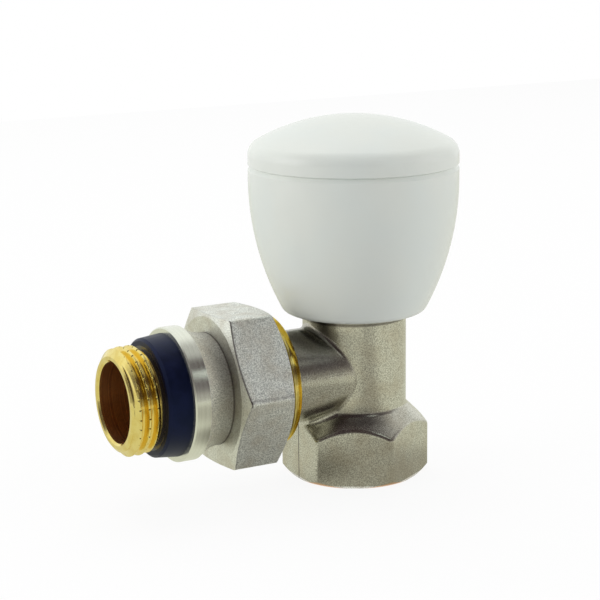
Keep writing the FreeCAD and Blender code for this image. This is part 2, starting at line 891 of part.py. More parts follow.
tail_sealing_ring = branch_body("tail_sealing_ring")
revolve(
    tail_sealing_ring,
    "sealing_ring_cone",
    [
        ("tail_ring_seat_radius", "tail_collar_face"),
        ("sealing_ring_large_radius", "tail_collar_face"),
        ("sealing_ring_small_radius", "tail_ring_face - sealing_ring_edge"),
        ("sealing_ring_small_radius - sealing_ring_edge", "tail_ring_face"),
        ("tail_ring_seat_radius", "tail_ring_face"),
    ],
)

# Check everything, then write one file for each sub-part

doc.recompute()
for item in doc.Objects:
    if "Invalid" in item.State or "Error" in item.State:
        raise RuntimeError(f"{item.Label} failed: {item.State}")
pieces = [item for item in doc.Objects if item.isDerivedFrom("PartDesign::Body") or item.TypeId == "Part::Torus"]
for piece in pieces:
    if piece.Shape.isNull() or not piece.Shape.isValid():
        raise RuntimeError(f"{piece.Label} has no valid shape")

os.makedirs("parts", exist_ok=True)
for piece in pieces:
    piece.Shape.exportStep(f"parts/{piece.Label}.step")
    print(piece.Label, round(piece.Shape.Volume, 1))
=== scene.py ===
# %% [markdown]
# # A manual radiator valve
# The valve stands at the foot of a radiator: hot water comes in from below, and the white knob lets it out
# through the tail at the left. The CAD model has the true shapes and sizes, so this lesson adds only what
# CAD leaves out: the cut threads, the finish of each metal, plastic and rubber, and a small photo studio.
#
# The model is loaded first. Nothing added later may make the valve larger.

# %% Load the frame
import json
import math

import bmesh
import bpy
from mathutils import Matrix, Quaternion, Vector


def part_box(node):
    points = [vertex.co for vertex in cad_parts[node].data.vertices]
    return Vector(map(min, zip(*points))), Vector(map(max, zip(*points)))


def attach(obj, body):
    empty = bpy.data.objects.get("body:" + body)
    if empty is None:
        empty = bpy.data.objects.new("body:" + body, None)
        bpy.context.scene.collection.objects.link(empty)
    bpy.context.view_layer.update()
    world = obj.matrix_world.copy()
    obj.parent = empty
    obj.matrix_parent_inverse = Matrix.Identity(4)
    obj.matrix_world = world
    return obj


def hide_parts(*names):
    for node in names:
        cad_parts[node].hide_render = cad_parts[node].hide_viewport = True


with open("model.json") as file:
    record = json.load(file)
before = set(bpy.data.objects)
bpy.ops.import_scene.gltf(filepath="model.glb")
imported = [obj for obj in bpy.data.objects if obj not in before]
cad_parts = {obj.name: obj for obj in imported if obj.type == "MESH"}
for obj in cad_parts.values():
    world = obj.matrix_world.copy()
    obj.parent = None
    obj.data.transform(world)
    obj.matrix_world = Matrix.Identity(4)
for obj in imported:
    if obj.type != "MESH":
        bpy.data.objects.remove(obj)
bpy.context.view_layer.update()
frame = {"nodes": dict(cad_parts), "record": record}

MM = 0.001  # CAD drawings of fittings are in millimetres, Blender works in metres
nodes = frame["nodes"]

# %% [markdown]
# ## The camera
# A photograph is easiest to match when the camera is settled before any colour. The tail's thread has a
# standard diameter, and that diameter in the picture gives the distance. The lens is long, so the two ends
# of the valve keep nearly the same scale. The camera leans by under a degree, as a hand-levelled one does.

# %% Camera
LENS = 105  # on the usual 36 mm sensor
AZIMUTH = math.radians(-28.29)
ELEVATION = math.radians(12.88)
LEAN = math.radians(-0.69)
DISTANCE = 351 * MM
AIM_ACROSS = -10.83 * MM
AIM_HEIGHT = 35.42 * MM

across = Vector((math.cos(AZIMUTH), math.sin(AZIMUTH), 0))
towards_camera = Vector((
    math.sin(AZIMUTH) * math.cos(ELEVATION),
    -math.cos(AZIMUTH) * math.cos(ELEVATION),
    math.sin(ELEVATION),
))
aim = across * AIM_ACROSS + Vector((0, 0, AIM_HEIGHT))

camera = bpy.data.objects.new("photo_camera", bpy.data.cameras.new("photo_camera"))
camera.data.lens = LENS
camera.location = aim + towards_camera * DISTANCE
camera.rotation_mode = "QUATERNION"
camera.rotation_quaternion = towards_camera.to_track_quat("Z", "Y") @ Quaternion((0, 0, 1), LEAN)
scene = bpy.context.scene
scene.collection.objects.link(camera)
scene.camera = camera
scene.view_settings.view_transform = "Standard"
print("camera at", [round(value / MM) for value in camera.location], "mm")

# %% [markdown]
# ## Shader maths as Python
# A finish is a small network of nodes, and wiring it by hand soon hides what it means. This class wraps one
# output of a node, so that `0.3 + 0.1 * grain` adds the two Math nodes that it stands for. Every other kind
# of node comes from one method, which sets the node's own settings first and its sockets after.

# %% The wire class
class Wire:
    """An output of a node. Python's operators on it add Math nodes to its tree."""

    def __init__(self, tree, socket=None):
        self.tree = tree
        self.socket = socket

    def plug(self, node, sockets):
        for name, value in sockets.items():
            if isinstance(value, Wire):
                self.tree.links.new(value.socket, node.inputs[name])
            else:
                node.inputs[name].default_value = value

    def node(self, kind, settings=None, sockets=None, out=0):
        node = self.tree.nodes.new(kind)
        for name, value in (settings or {}).items():
            setattr(node, name, value)
        self.plug(node, sockets or {})
        return Wire(self.tree, node.outputs[out])

    def beside(self, out):
        """Another output of the same node."""
        return Wire(self.tree, self.socket.node.outputs[out])

    def math(self, operation, first, second):
        return self.node("ShaderNodeMath", {"operation": operation}, {0: first, 1: second})

    def __add__(self, other):
        return self.math("ADD", self, other)

    def __sub__(self, other):
        return self.math("SUBTRACT", self, other)

    def __rsub__(self, other):
        return self.math("SUBTRACT", other, self)

    def __mul__(self, other):
        return self.math("MULTIPLY", self, other)

    def __abs__(self):
        return self.math("ABSOLUTE", self, 0)

    def __gt__(self, other):
        return self.math("GREATER_THAN", self, other)

    def __lt__(self, other):
        return self.math("LESS_THAN", self, other)

    __radd__ = __add__
    __rmul__ = __mul__


print("a wire understands + - * < > and abs()")

# %% [markdown]
# Four kinds of node come up again and again, so each gets a short name: a soft step, a blend of two colours,
# one coordinate of a place, and sums with whole vectors.

# %% Short names for nodes
COLOUR_A, COLOUR_B, COLOUR_OUT = 6, 7, 2  # the Mix node's colour sockets, which share names with others


def ramp(value, low, high):
    """0 below low, 1 above high, and a soft step between them."""
    sockets = {"Value": value, "From Min": low, "From Max": high}
    return value.node("ShaderNodeMapRange", {"interpolation_type": "SMOOTHSTEP"}, sockets)


def mix_colours(amount, first, second):
    """The first colour where amount is 0, the second where it is 1."""
    sockets = {0: amount, COLOUR_A: first, COLOUR_B: second}
    return amount.node("ShaderNodeMix", {"data_type": "RGBA"}, sockets, COLOUR_OUT)


def coordinate(place, letter):
    return place.node("ShaderNodeSeparateXYZ", sockets={0: place}, out=letter)


def vector_math(operation, place, other=(0, 0, 0), out="Vector"):
    """A sum with whole vectors. A length, a distance or a dot product comes out as Value."""
    return place.node("ShaderNodeVectorMath", {"operation": operation}, {0: place, 1: other}, out)


print("short names: ramp, mix_colours, coordinate, vector_math")

# %% [markdown]
# ## A white studio
# The picture was taken in a light tent: white all round, with the strongest light from above. The world gives
# the even part of that light. A ray that comes straight from the camera, or from a mirror or a glass, sees it
# at strength 1, which is white; all other rays see it weaker, so that the lamps can shape the valve.

# %% World
AMBIENT = 0.54
WHITE = (1, 1, 1, 1)

scene.world = bpy.data.worlds.new("light_tent")
scene.world.use_nodes = True


def seen_directly(start):
    """1 for rays from the camera, a shiny surface or a clear one, and 0 for the rest."""
    camera_ray = start.node("ShaderNodeLightPath", out="Is Camera Ray")
    return camera_ray + camera_ray.beside("Is Glossy Ray") + camera_ray.beside("Is Transmission Ray")


tent = Wire(scene.world.node_tree)
tent_light = scene.world.node_tree.nodes["Background"]
tent.plug(tent_light, {
    "Color": WHITE,
    "Strength": AMBIENT + (1 - AMBIENT) * seen_directly(tent),
})
print("world light", AMBIENT)

# %% [markdown]
# The floor is a sheet of white card. Part of what the camera sees of it is its own glow, which keeps it white
# to the horizon, and the rest is lit by the lamps, which leaves a faint shadow under the valve.

# %% Floor
FLOOR_HALF = 0.6
FLOOR_GLOW = 0.9
LIT_PAPER, SEEN_PAPER = (0.65, 0.65, 0.65, 1), (0.95, 0.95, 0.95, 1)


def flat_panel(name, half_width, half_depth, height=0.0):
    """A rectangle that lies level, centred on its own origin."""
    corners = [(-1, -1), (1, -1), (1, 1), (-1, 1)]
    mesh = bpy.data.meshes.new(name)
    mesh.from_pydata([(x * half_width, y * half_depth, height) for x, y in corners], [], [(0, 1, 2, 3)])
    return bpy.data.objects.new(name, mesh)


floor = flat_panel("floor", FLOOR_HALF, FLOOR_HALF)
scene.collection.objects.link(floor)

white_card = bpy.data.materials.new("white_card")
white_card.use_nodes = True
card = Wire(white_card.node_tree)
seen = seen_directly(card)
paper = card.node("ShaderNodeBsdfDiffuse", sockets={"Color": mix_colours(seen, LIT_PAPER, SEEN_PAPER)})
glow = card.node("ShaderNodeEmission", sockets={"Color": WHITE, "Strength": 1})
card_surface = card.node("ShaderNodeMixShader", sockets={0: seen * FLOOR_GLOW, 1: paper, 2: glow})
card.plug(white_card.node_tree.nodes["Material Output"], {"Surface": card_surface})
floor.data.materials.append(white_card)
print("floor", 2 * FLOOR_HALF, "m square")

# %% [markdown]
# Four lamps light the valve: a large softbox above, which makes the cap the palest part, one at each side,
# which leave the front of the knob a little darker than its edges, and a small lamp in front for the knob's
# highlight. They are area lamps, because a point lamp draws hard shadows that a tent never has.

# %% Softboxes
SOFTBOXES = {  # place and side in metres, power in watts
    "top_softbox": ((0.1, 0.35, 0.8), 0.7, 2.6),
    "left_softbox": ((-0.85, 0.2, 0.3), 0.6, 3.4),
    "right_softbox": ((0.75, -0.5, 0.3), 0.6, 2.6),
    "front_lamp": ((0.18, -0.86, 0.17), 0.12, 0.15),
}

for name, (place, side, watts) in SOFTBOXES.items():
    lamp = bpy.data.lights.new(name, "AREA")
    lamp.size = side
    lamp.energy = watts
    softbox = bpy.data.objects.new(name, lamp)
    softbox.location = place
    softbox.rotation_mode = "QUATERNION"
    softbox.rotation_quaternion = (Vector(place) - aim).to_track_quat("Z", "Y")
    scene.collection.objects.link(softbox)
    print(name, place, f"{watts} W")

# %% [markdown]
# ## What the metal reflects
# Metal shows what stands around it, and a plain white tent would make it look like paper. So three glowing
# panels stand round the valve: a dome, a table and a card. Only reflections see them, so they take no light
# from the valve and stay out of every view.

# %% Tools for reflections
def only_reflected(panel):
    """Hides a part of the studio from everything but shiny surfaces."""
    panel.visible_camera = False
    panel.visible_diffuse = False
    panel.visible_shadow = False
    scene.collection.objects.link(panel)


def glowing(name):
    """A material that only shines: the material, a wire to start from, and the shader."""
    tone = bpy.data.materials.new(name)
    tone.use_nodes = True
    board = Wire(tone.node_tree)
    shine = board.node("ShaderNodeEmission", sockets={"Strength": 1})
    board.plug(tone.node_tree.nodes["Material Output"], {"Surface": shine})
    return tone, board, shine.socket.node


print("tools for reflections: only_reflected, glowing")

# %% [markdown]
# The dome is the tent itself. It is open towards a dark room in front and at the left, and its bright walls
# are at the right and behind. A sphere and the direction from its centre give that picture without any image.

# %% Dome
DOME_RADIUS = 0.8
DARK_ROOM = (0.07, 0.052, 0.055, 1)
DIM_ROOM = (0.33, 0.32, 0.28, 1)
WHITE_WALL = (0.97, 0.99, 0.96, 1)
RIGHT_WALL_LIGHT = 0.72
# each edge is soft: where it starts and where it ends, on a sphere of radius 1
RIGHT_WALL_EDGE = 0.15, 0.5
RIGHT_WALL_FRONT = -0.45, -0.15
BACK_WALL_EDGE = 0.1, 0.5
ROOM_HORIZON = 0.05, 0.3

dome_mesh = bpy.data.meshes.new("tent_dome")
sphere = bmesh.new()
bmesh.ops.create_icosphere(sphere, subdivisions=4, radius=DOME_RADIUS)
sphere.to_mesh(dome_mesh)
sphere.free()
dome = bpy.data.objects.new("tent_dome", dome_mesh)
dome.location = aim
only_reflected(dome)

dome_tone, wall, dome_shine = glowing("tent_walls")
way = vector_math("NORMALIZE", wall.node("ShaderNodeTexCoord", out="Object"))
to_right = coordinate(way, "X")
to_back = to_right.beside("Y")
right_wall = RIGHT_WALL_LIGHT * ramp(to_right, *RIGHT_WALL_EDGE) * ramp(to_back, *RIGHT_WALL_FRONT)
in_shade = (1 - right_wall) * (1 - ramp(to_back, *BACK_WALL_EDGE))
room = mix_colours(ramp(to_right.beside("Z"), *ROOM_HORIZON), DIM_ROOM, DARK_ROOM)
wall.plug(dome_shine, {"Color": mix_colours(in_shade, WHITE_WALL, room)})
dome_mesh.materials.append(dome_tone)
print("dome", 2 * DOME_RADIUS, "m across")

# %% [markdown]
# The table is what the undersides reflect. It is pale, shaded in front of the foot, and darkest where the
# nut's shadow falls, which keeps the nut's lower flat darker than the one above it.

# %% Table
PALE_TABLE = (0.73, 0.735, 0.61, 1)
SHADED_TABLE = (0.43, 0.42, 0.35, 1)
NUT_SHADOW = (0.2, 0.19, 0.15, 1)
NUT_SHADOW_PLACE = (-0.0235, -0.017, 0)
TABLE_HALF = 0.4
TABLE_HEIGHT = 0.0004  # just clear of the floor
SHADE_BACK, SHADE_SIDE, SHADE_REACH = (-0.015, 0.01), (0.019, 0.034), (0.05, 0.3)
NUT_SHADOW_EDGE = 0.006, 0.015

grey_table = flat_panel("grey_table", TABLE_HALF, TABLE_HALF, TABLE_HEIGHT)
only_reflected(grey_table)
table_tone, table, table_shine = glowing("grey_table")
table_place = table.node("ShaderNodeTexCoord", out="Object")
beside_foot = coordinate(table_place, "X")
from_foot = vector_math("LENGTH", table_place, out="Value")
from_shadow = vector_math("DISTANCE", table_place, NUT_SHADOW_PLACE, "Value")
in_front = 1 - ramp(beside_foot.beside("Y"), *SHADE_BACK)
shaded = in_front * (1 - ramp(abs(beside_foot), *SHADE_SIDE)) * (1 - ramp(from_foot, *SHADE_REACH))
table_tones = mix_colours(shaded, PALE_TABLE, SHADED_TABLE)
under_nut = 1 - ramp(from_shadow, *NUT_SHADOW_EDGE)
table.plug(table_shine, {"Color": mix_colours(under_nut, table_tones, NUT_SHADOW)})
grey_table.data.materials.append(table_tone)
print("table", 2 * TABLE_HALF, "m square")

# %% [markdown]
# The card is a photographer's trick: a small white board held close puts a gleam on the tail and the nut. A lamp
# there would brighten the knob too, and a card that only reflections see does not.

# %% Fill card
CARD_PLACE = (0.018, -0.082, 0.0945)
CARD_WIDTH, CARD_HEIGHT = 0.032, 0.03
CARD_TONE = (0.76, 0.82, 0.78, 1)

fill_card = flat_panel("fill_card", CARD_WIDTH / 2, CARD_HEIGHT / 2)
fill_card.location = CARD_PLACE
fill_card.rotation_mode = "QUATERNION"
card_aim = Vector(CARD_PLACE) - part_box("tail_sealing_ring")[0]
fill_card.rotation_quaternion = card_aim.to_track_quat("Z", "Y")
only_reflected(fill_card)
card_tone, card_board, card_shine = glowing("fill_card")
card_board.plug(card_shine, {"Color": CARD_TONE})
fill_card.data.materials.append(card_tone)
print("fill card", round(card_aim.length / MM), "mm from the rubber ring")

# %% [markdown]
# ## Finishes
# All finishes measure in millimetres on the CAD model's own coordinates, so a grain of a fifth of a
# millimetre is that size on every piece, and it stays on the piece when a joint moves.

# %% Tools for finishes
NOISE_SPREAD = 0.35, 0.65  # most of a noise lies between these

branch_height = sum(corner.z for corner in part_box("tailpiece")) / 2 / MM


def new_finish(name):
    """A material with one empty shader: the material, a wire to start from, and the shader."""
    finish = bpy.data.materials.new(name)
    finish.use_nodes = True
    return finish, Wire(finish.node_tree), finish.node_tree.nodes["Principled BSDF"]


def place_in_mm(start):
    coordinates = start.node("ShaderNodeTexCoord", out="Object")
    return start.node("ShaderNodeVectorMath", {"operation": "SCALE"}, {0: coordinates, "Scale": 1 / MM})


def noise(place, per_mm, detail=2.0):
    return place.node("ShaderNodeTexNoise", sockets={"Vector": place, "Scale": per_mm, "Detail": detail})


def bump(height, depth_mm):
    return height.node("ShaderNodeBump", sockets={"Height": height, "Distance": depth_mm * MM})


print("branch axis", round(branch_height, 2), "mm above the floor")

# %% [markdown]
# Much of the valve was turned on a lathe, about the branch axis or the barrel's. A turned surface is the same
# all the way round, so its marks need only two distances: along the axis and from it.

# %% Distances from the two axes
RING_DETAIL = 3


def beside_branch_axis(place):
    """The place as measured from the branch axis."""
    return vector_math("SUBTRACT", place, (0, 0, branch_height))


def from_branch_axis(place):
    """The distance along the branch axis and the distance from it, in millimetres."""
    across_axis = vector_math("MULTIPLY", beside_branch_axis(place), (0, 1, 1))
    return 0 - coordinate(place, "X"), vector_math("LENGTH", across_axis, out="Value")


def from_barrel_axis(place):
    """The same for the upright axis of the barrel."""
    across_axis = vector_math("MULTIPLY", place, (1, 1, 0))
    return coordinate(place, "Z"), vector_math("LENGTH", across_axis, out="Value")


def lathe_rings(place, from_axis, per_mm):
    """Noise that is the same all the way round an axis, as a turning tool leaves it."""
    along, radius = from_axis(place)
    ring_place = place.node("ShaderNodeCombineXYZ", sockets={"X": along, "Y": radius})
    return noise(ring_place, per_mm, RING_DETAIL)


print("axes: the branch and the barrel")

# %% [markdown]
# ### Tool lines and painted shade
# A forging has lines where its tools met. On the body it is the parting line of the two dies, which runs down
# the foot's end flats. Below the knob a dark ring is painted shadow, where the knob's lip shades the barrel's
# turned top. Around the branch, under the knob and in the crease below the branch, the body is darker: that is
# painted shade, where the knob and the branch keep the bright tent out of its reflections. The lines could be
# cut as grooves, but they are a tenth of a millimetre wide, so a darker colour along them is enough.

# %% Lines on the body
FOOT_TOP = 14.0
PARTING_WIDTH = 0.1
PARTING_WANDER = 0.25
LIP_HEIGHT, LIP_EDGE, LIP_DARK = 32.5, (0.1, 0.5), 0.8
# how dark the painted shade gets, and where that starts and is full: towards the nut and upwards
BRANCH_DARK, BRANCH_REACH, BRANCH_RISE = 0.15, (5.0, 12.0), (13.0, 17.0)
KNOB_DARK, KNOB_REACH, KNOB_RISE, KNOB_FALL = 0.45, (2.0, 9.0), (22.0, 27.0), (30.0, 32.0)
CREASE_DARK, CREASE_REACH, CREASE_RISE, CREASE_FALL = 0.55, (-3.0, 4.0), (12.0, 13.0), (14.5, 17.0)
CREASE_FRONT = 5.0, 8.0


def body_lines_and_shade(place):
    side = coordinate(place, "Y")
    height = side.beside("Z")
    towards_nut = 0 - side.beside("X")
    wander = PARTING_WANDER * noise(place, per_mm=0.3) - PARTING_WANDER / 2
    parting_line = (1 - ramp(abs(side + wander), PARTING_WIDTH, 2 * PARTING_WIDTH)) * (height < FOOT_TOP)
    # painted shadow: a dark ring on the barrel just below the knob's lip
    lip_shadow = 1 - ramp(abs(height - LIP_HEIGHT), *LIP_EDGE)
    branch = ramp(towards_nut, *BRANCH_REACH) * ramp(height, *BRANCH_RISE)
    under_knob = ramp(towards_nut, *KNOB_REACH) * ramp(height, *KNOB_RISE) * (1 - ramp(height, *KNOB_FALL))
    crease = ramp(towards_nut, *CREASE_REACH) * ramp(height, *CREASE_RISE) * (1 - ramp(height, *CREASE_FALL))
    crease *= ramp(0 - side, *CREASE_FRONT)
    # painted shade: darker on the branch, under the knob and in the crease below the branch
    painted_shade = BRANCH_DARK * branch + KNOB_DARK * under_knob + CREASE_DARK * crease
    return parting_line + LIP_DARK * lip_shadow + painted_shade


print("body lines: parting line, lip and thin plating")

# %% [markdown]
# The nut's line is a burr, where the lathe cut the chamfer through the flats. It is faint on most flats and
# clear on the one that faces up and to the front, and a dark band along that flat's lower edge is painted shade.
# The tail has a dark line where its neck goes into the nut, which is painted shadow in the gap, and painted
# shade darkens the neck beside it. All of them follow from where a point lies about the branch axis, so they are
# worked out from it and need no image map.

# %% Lines on the nut and the neck
NUT_END, NUT_FACE_RADIUS, NUT_CHAMFER_SLOPE = 32.5, 14.1, 0.3
BURR_WIDTH, BURR_RAGGED, FAINT_BURR = 0.4, 0.25, 0.25
BURRED_FLAT = (0, -0.85, 0.53)  # where the flat with the clear burr faces
DOWN_THE_FLAT = (0, -0.53, -0.85)
FLAT_LIMIT = 0.85  # of the radius
FLAT_HALF = 8.2
FLAT_SHADE_EDGE, FLAT_SHADE_WANDER, FLAT_SHADE_DARK = (0.1, 0.5), 0.8, 0.35
NECK_LINE_EDGE = 0.1, 0.35
NECK_SHADE, NECK_SHADE_LENGTH = 0.6, 6.0


def nut_lines_and_shade(place):
    along, radius = from_branch_axis(place)
    below_chamfer = NUT_END - NUT_CHAMFER_SLOPE * (radius - NUT_FACE_RADIUS) - along
    ragged = below_chamfer - BURR_RAGGED * noise(place, per_mm=1.5)
    burr = (1 - ramp(ragged, 0.0, BURR_WIDTH)) * (radius > NUT_FACE_RADIUS)
    from_axis = beside_branch_axis(place)
    on_flat = vector_math("DOT_PRODUCT", from_axis, BURRED_FLAT, "Value") > FLAT_LIMIT * radius
    down_flat = vector_math("DOT_PRODUCT", from_axis, DOWN_THE_FLAT, "Value")
    wandering = down_flat + FLAT_SHADE_WANDER * noise(place, per_mm=0.6)
    # painted shade: a dark band along the lower edge of the flat that faces up and to the front
    flat_shade = 1 - ramp(abs(wandering - FLAT_HALF), *FLAT_SHADE_EDGE)
    return burr * (FAINT_BURR + (1 - FAINT_BURR) * on_flat) + FLAT_SHADE_DARK * flat_shade * on_flat


def neck_gap_shade(place):
    # painted shadow in the gap where the neck enters the nut, and painted shade on the neck beside it
    from_nut = from_branch_axis(place)[0] - NUT_END
    painted_shade = NECK_SHADE * (1 - ramp(from_nut, 0.0, NECK_SHADE_LENGTH))
    return 1 - ramp(from_nut, *NECK_LINE_EDGE) * (1 - painted_shade)


print("nut and neck lines: burr, fold and gap")

# %% [markdown]
# ### Sand-blasted nickel
# The body and the nut are forged in brass, blasted with sand and nickel-plated. Blasting leaves grains of
# about a fifth of a millimetre, each tilted its own way, so the surface is matt but glitters. Two scales of
# noise do that: a fine one for the grains, in colour and in bump, and a slow one for the cloudy plating. Here
# and there the sand has left a pit, which stays dark. A mesh with real grains would need millions of faces.
#
# Four surfaces came out a little different in gloss and tone: the body, the flats of the nut, its ends and the
# tail. One function makes them all from a table.

# %% Sand-blasted nickel
GRAINS_PER_MM, GRAIN_EDGE, GRAIN_DEPTH, GRAIN_ROUGHNESS = 4.6, (0.34, 0.66), 0.006, 0.08
CLOUDS_PER_MM, CLOUD_EDGE, CLOUD_SHARE = 0.22, (0.35, 0.7), 0.4
PITS_PER_MM, PIT_EDGE, PIT_DARK = 4.4, (0.6, 0.72), 0.5
LINE_DARK = 0.85
WARM_CLOUD = (0.47, 0.41, 0.31, 1)
# the dark of the pits, and of the tool lines and painted shade
DIRT_AND_SHADE = (0.06, 0.045, 0.045, 1)
BLASTED = {  # roughness, metallic, dark grain, pale grain and the tool lines with painted shade
    "body_nickel": (0.2, 1, (0.42, 0.41, 0.355, 1), (0.76, 0.755, 0.67, 1), body_lines_and_shade),
    "nut_nickel": (0.42, 0.7, (0.47, 0.485, 0.455, 1), (0.97, 0.99, 0.935, 1), nut_lines_and_shade),
    "nut_end_nickel": (0.3, 1, (0.58, 0.58, 0.53, 1), (0.84, 0.85, 0.79, 1), None),
    "tail_nickel": (0.46, 0.6, (0.46, 0.46, 0.41, 1), (0.95, 0.95, 0.85, 1), neck_gap_shade),
}


def blasted_nickel(name, roughness, metallic, dark_grain, pale_grain, lines_and_shade):
    finish, start, shader = new_finish(name)
    place = place_in_mm(start)
    grain = noise(place, GRAINS_PER_MM)
    plated = mix_colours(ramp(grain, *GRAIN_EDGE), dark_grain, pale_grain)
    clouds = CLOUD_SHARE * ramp(noise(place, CLOUDS_PER_MM), *CLOUD_EDGE)
    tinted = mix_colours(clouds, plated, WARM_CLOUD)
    clean_and_unshaded = 1 - PIT_DARK * ramp(noise(place, PITS_PER_MM), *PIT_EDGE)
    # the tool lines and the painted shade darken the colour here
    if lines_and_shade:
        clean_and_unshaded *= 1 - LINE_DARK * lines_and_shade(place)
    start.plug(shader, {
        "Base Color": mix_colours(1 - clean_and_unshaded, tinted, DIRT_AND_SHADE),
        "Metallic": metallic,
        "Roughness": roughness + GRAIN_ROUGHNESS * grain,
        "Normal": bump(grain, GRAIN_DEPTH),
    })
    return finish


finishes = {name: blasted_nickel(name, *looks) for name, looks in BLASTED.items()}
print("blasted finishes:", ", ".join(finishes))

# %% [markdown]
# ### Turned nickel
# The tail's collar was turned on a lathe before plating, and not blasted. The tool leaves rings that are the
# same all the way round, so the noise reads only the distances along the axis and from it. The rings are less
# than a hundredth of a millimetre deep, and still they draw every highlight out into streaks.

# %% Turned nickel
FINE_RINGS_PER_MM, FINE_RING_EDGE, FINE_RING_DEPTH = 11, (0.3, 0.7), 0.003
RING_TONES = (0.74, 0.75, 0.66, 1), (0.79, 0.80, 0.71, 1)


def turned_nickel():
    finish, start, shader = new_finish("collar_nickel")
    rings = lathe_rings(place_in_mm(start), from_branch_axis, FINE_RINGS_PER_MM)
    start.plug(shader, {
        "Base Color": mix_colours(ramp(rings, *FINE_RING_EDGE), *RING_TONES),
        "Metallic": 0.92,
        "Roughness": 0.12 + 0.16 * rings,
        "Normal": bump(rings, FINE_RING_DEPTH),
    })
    return finish


finishes["collar_nickel"] = turned_nickel()
print("collar_nickel, with rings", FINE_RING_DEPTH, "mm deep")

# %% [markdown]
# ### Bare brass
# The threads are cut after plating, so bare brass shows there. The outer thread was chased with a sharp tool
# and shines, and its grooves are a deeper amber, which is painted shade between the flanks. The relief groove
# beside the rubber ring is painted nearly black and not metallic, as painted shadow. Radius and length on the
# axis tell crest, groove and relief apart, so the thread needs no image map.

# %% Bare brass
TAIL_THREAD_START, TAIL_RELIEF_END = 46.0, 46.6
BEFORE_THREAD = 0.1
GROOVE_EDGE = 9.6, 10.4
GROOVE_END = 51.2
RELIEF_FADE = TAIL_RELIEF_END - 0.2, TAIL_RELIEF_END + 0.1
TARNISH_EDGE = 0.35, 0.7
FRESH_BRASS, DULL_BRASS = (0.88, 0.74, 0.27, 1), (0.80, 0.63, 0.19, 1)
# painted shade: deeper amber in the thread's grooves, and near black in the relief groove
GROOVE_SHADE_AMBER, RELIEF_SHADOW = (0.87, 0.66, 0.18, 1), (0.03, 0.022, 0.018, 1)


def bare_brass():
    finish, start, shader = new_finish("bare_brass")
    place = place_in_mm(start)
    rings = lathe_rings(place, from_branch_axis, per_mm=5)
    along, radius = from_branch_axis(place)
    on_tail = along > TAIL_THREAD_START - BEFORE_THREAD
    in_groove = (1 - ramp(radius, *GROOVE_EDGE)) * on_tail * (along < GROOVE_END)
    in_relief = (1 - ramp(along, *RELIEF_FADE)) * on_tail
    dry = mix_colours(ramp(noise(place, per_mm=0.5), *TARNISH_EDGE), FRESH_BRASS, DULL_BRASS)
    groove_shaded = mix_colours(in_groove, dry, GROOVE_SHADE_AMBER)
    start.plug(shader, {
        # painted shadow in the relief groove: near black and not metallic
        "Base Color": mix_colours(in_relief, groove_shaded, RELIEF_SHADOW),
        "Metallic": 1 - in_relief,
        "Roughness": 0.1 + 0.1 * rings,
        "Normal": bump(rings, depth_mm=0.0004),
    })
    return finish


finishes["bare_brass"] = bare_brass()
print("bare_brass, with a relief groove", round(TAIL_RELIEF_END - TAIL_THREAD_START, 2), "mm wide")

# %% [markdown]
# The bores were drilled and have gone brown. The drill leaves coarser rings than the lathe tool, and each bore
# has them about its own axis.

# %% Bored brass
BORE_TONES = (0.56, 0.31, 0.16, 1), (0.82, 0.50, 0.22, 1)


def bored_brass(name, from_axis):
    finish, start, shader = new_finish(name)
    rings = lathe_rings(place_in_mm(start), from_axis, per_mm=6)
    start.plug(shader, {
        "Base Color": mix_colours(ramp(rings, *NOISE_SPREAD), *BORE_TONES),
        "Metallic": 1,
        "Roughness": 0.3 + 0.1 * rings,
        "Normal": bump(rings, depth_mm=0.01),
    })
    return finish


finishes["tail_bore_brass"] = bored_brass("tail_bore_brass", from_branch_axis)
finishes["inlet_brass"] = bored_brass("inlet_brass", from_barrel_axis)
print("bored finishes: tail_bore_brass, inlet_brass")

# %% [markdown]
# ### Rubber
# The sealing ring is moulded rubber, nearly black with a blue cast and a satin skin. The blue is only in its
# gleam, so it is set as the tint of the reflection, and the colour below stays almost black.

# %% Rubber
BLOOM_EDGE = 0.4, 0.7
RUBBER_TONES = (0.0015, 0.002, 0.013, 1), (0.003, 0.004, 0.022, 1)
BLUE_GLEAM = (0.3, 0.44, 1.0, 1)


def black_rubber():
    finish, start, shader = new_finish("black_rubber")
    place = place_in_mm(start)
    bloom = noise(place, per_mm=0.4, detail=3)
    skin = noise(place, per_mm=5)
    start.plug(shader, {
        "Base Color": mix_colours(ramp(bloom, *BLOOM_EDGE), *RUBBER_TONES),
        "Roughness": 0.38 + 0.12 * bloom,
        "Specular IOR Level": 0.38,
        "Specular Tint": BLUE_GLEAM,
        "Normal": bump(skin, depth_mm=0.004),
    })
    return finish


finishes["black_rubber"] = black_rubber()
print("black_rubber")

# %% [markdown]
# ### Fibre and steel
# Two finishes are hidden inside: the gaskets are cut from pressed fibre, reddish brown and dull, and the knob's
# screw is zinc-plated steel. One noise each is enough for pieces that show only when the valve is taken apart.

# %% Fibre and steel
FIBRE_TONES = (0.20, 0.085, 0.05, 1), (0.32, 0.17, 0.11, 1)
ZINC_TONES = (0.5, 0.51, 0.53, 1), (0.64, 0.64, 0.65, 1)


def fibre_sheet():
    finish, start, shader = new_finish("fibre_sheet")
    fibres = noise(place_in_mm(start), per_mm=2.5, detail=4)
    start.plug(shader, {
        "Base Color": mix_colours(ramp(fibres, *NOISE_SPREAD), *FIBRE_TONES),
        "Roughness": 0.75 + 0.2 * fibres,
        "Normal": bump(fibres, depth_mm=0.04),
    })
    return finish


